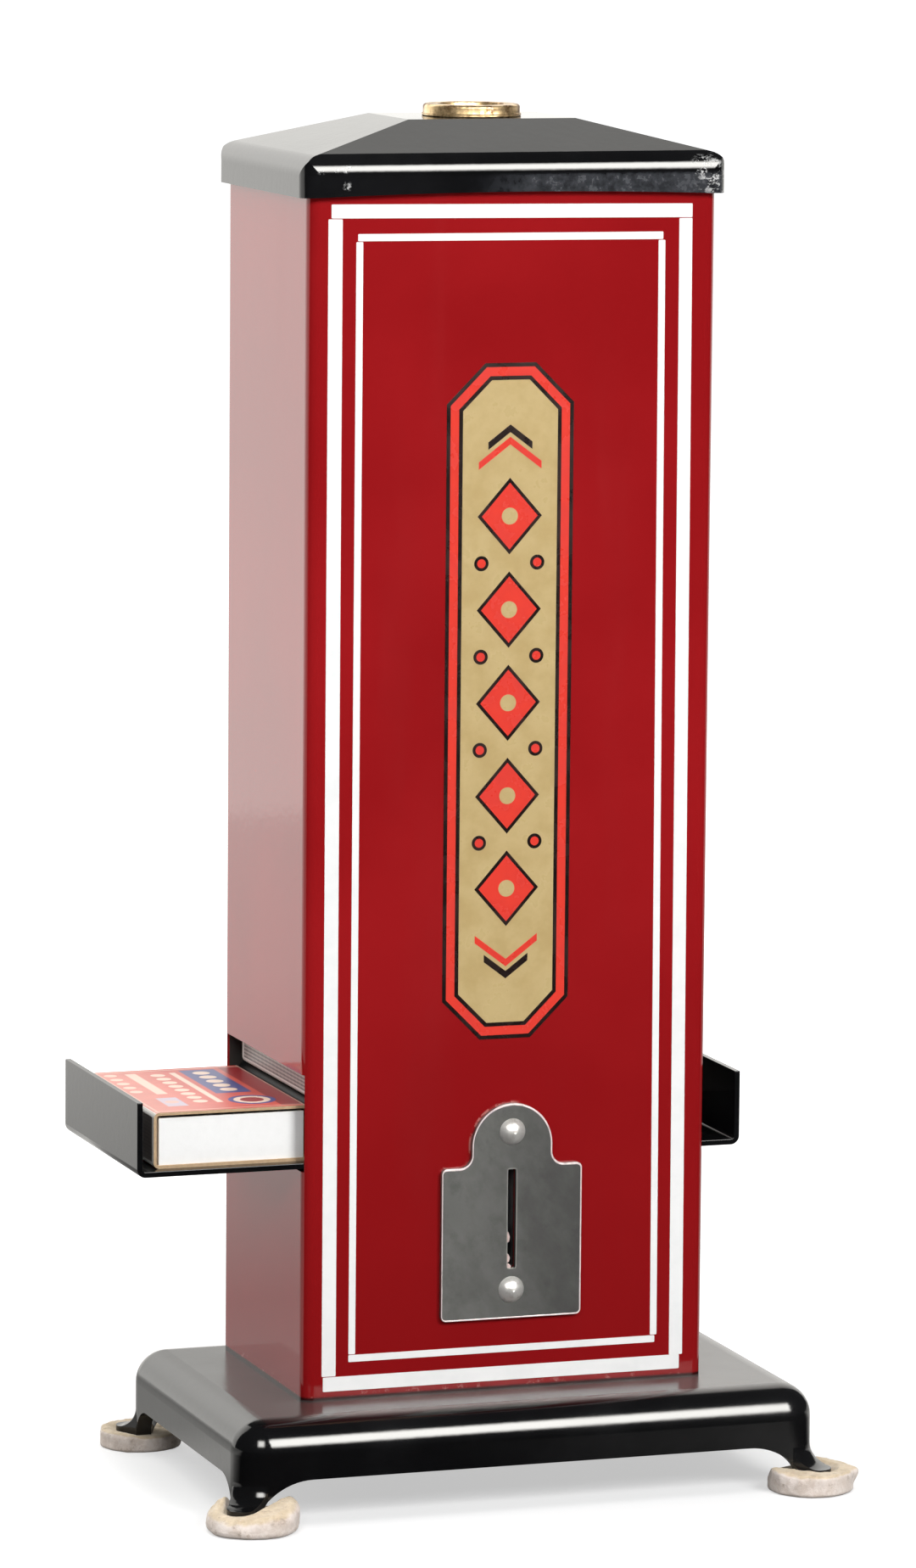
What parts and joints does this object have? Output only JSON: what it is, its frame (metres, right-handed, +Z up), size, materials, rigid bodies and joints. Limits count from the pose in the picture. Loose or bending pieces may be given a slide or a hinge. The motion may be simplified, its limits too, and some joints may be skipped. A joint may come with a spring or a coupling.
{
  "type": "match vending machine",
  "caption": "Countertop coin machine selling boxes of matches: tall red cabinet on a black cast base, hipped lid with lock, coin plate, and a slide bringing a box out at either side.",
  "frame": {"origin": "on the counter, under the middle of the base casting", "axes": "+Z up, +X to the machine's right as seen from the front, -Y towards the front with the coin plate"},
  "size_m": [0.1628, 0.108, 0.3125],
  "materials": {
    "base_enamel": "gloss black enamel on iron",
    "black_enamel": "gloss black enamel",
    "red_enamel": "gloss deep red enamel",
    "brass": "worn polish",
    "plate_steel": "dull brushed",
    "nickel": "satin nickel",
    "zinc_plate": "zinc plated",
    "felt": "thick pressed felt",
    "label_card": "printed card",
    "white_card": "plain white card"
  },
  "bodies": {
    "frame": {"base_casting": "base_enamel", "felt_pad_front_left": "felt", "felt_pad_front_right": "felt", "felt_pad_rear_left": "felt", "felt_pad_rear_right": "felt", "cabinet_shell": "red_enamel", "base_screws": "zinc_plate", "base_nuts": "zinc_plate", "lock_bar": "zinc_plate", "coin_plate": "plate_steel", "coin_plate_rivets": "nickel", "coin_chute": "zinc_plate", "latch_pin": "zinc_plate", "latch_spring": "plate_steel", "stop_plate": "zinc_plate", "front_rail": "zinc_plate", "rear_rail": "zinc_plate", "rail_rivets": "zinc_plate", "left_magazine": "zinc_plate", "right_magazine": "zinc_plate", "cash_box": "zinc_plate", "stack_sleeves": "label_card", "stack_drawers": "white_card"},
    "lid": {"lid": "black_enamel", "lock_housing": "brass", "lock_nut": "brass"},
    "lock": {"lock_plug": "brass", "lock_cam": "zinc_plate", "cam_screw": "zinc_plate"},
    "slide": {"slide_tray": "black_enamel", "slide_bridge": "black_enamel", "bridge_rivets": "zinc_plate", "slide_stop_pin": "zinc_plate", "matchbox_sleeve": "label_card", "matchbox_drawer": "white_card"},
    "latch": {"latch_lever": "brass"}
  },
  "joints": [
    {"name": "lid_lift", "type": "slide", "parent": "frame", "child": "lid", "axis": [0, 0, 1], "range_m": [0, 0.05]},
    {"name": "lock_turn", "type": "hinge", "parent": "lid", "child": "lock", "pos_m": [0, 0.00695, 0.3], "axis": [0, 0, 1], "range_deg": [0, 90]},
    {"name": "slide_travel", "type": "slide", "parent": "frame", "child": "slide", "axis": [1, 0, 0], "range_m": [-0.0089, 0.0385]},
    {"name": "latch_swing", "type": "hinge", "parent": "frame", "child": "latch", "pos_m": [0.001, 0.00175, 0.067], "axis": [1, 0, 0], "range_deg": [-9, 0], "stiffness_Nm_per_rad": 0.02, "springref_deg": -9}
  ]
}
